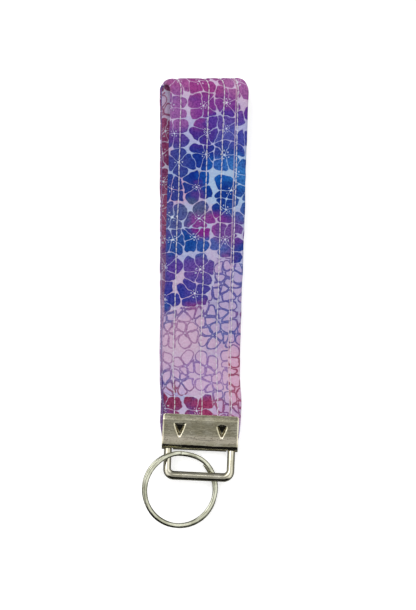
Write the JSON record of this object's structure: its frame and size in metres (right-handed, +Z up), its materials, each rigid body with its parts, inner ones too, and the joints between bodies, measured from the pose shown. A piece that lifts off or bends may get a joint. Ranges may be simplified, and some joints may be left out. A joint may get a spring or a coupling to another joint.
{
  "type": "wristlet keychain",
  "caption": "Quilted cotton wrist strap folded into a loop and held in a toothed metal clamp, with a pivoting wire loop and a split key ring.",
  "frame": {"origin": "middle of the clamp's flat back, which rests on the table", "axes": "+Y along the strap, away from the key ring; +X across the strap; +Z up from the table, through the clamp to its front"},
  "size_m": [0.0415, 0.1902, 0.0103],
  "materials": {
    "printed_cotton": "plain-weave cotton with a batik flower print in purple, blue and pink",
    "interlining": "matt felted interlining",
    "thread": "white polyester sewing thread, slight sheen",
    "nickel": "polished nickel plate, warm, with fine scratches"
  },
  "bodies": {
    "clamp": {"clamp": "nickel", "strap_cover_ends": "printed_cotton", "strap_core_ends": "interlining"},
    "strap": {"strap_cover": "printed_cotton", "strap_core": "interlining", "needle_thread_1": "thread", "needle_thread_2": "thread", "needle_thread_3": "thread", "needle_thread_4": "thread", "bobbin_thread_1": "thread", "bobbin_thread_2": "thread", "bobbin_thread_3": "thread", "bobbin_thread_4": "thread"},
    "wire_loop": {"wire_loop": "nickel"},
    "split_ring": {"split_ring": "nickel"}
  },
  "joints": [
    {"name": "strap_flex", "type": "hinge", "parent": "clamp", "child": "strap", "pos_m": [0, 0.0115, 0.003], "axis": [1, 0, 0], "range_deg": [-40, 40]},
    {"name": "loop_swing", "type": "hinge", "parent": "clamp", "child": "wire_loop", "pos_m": [0, -0.0047, 0.0026], "axis": [1, 0, 0], "range_deg": [-2, 55]},
    {"name": "ring_swing", "type": "hinge", "parent": "wire_loop", "child": "split_ring", "pos_m": [-0.01335, -0.0047, 0.0026], "axis": [0, 0.9799, -0.1994], "range_deg": [0, 120]}
  ]
}
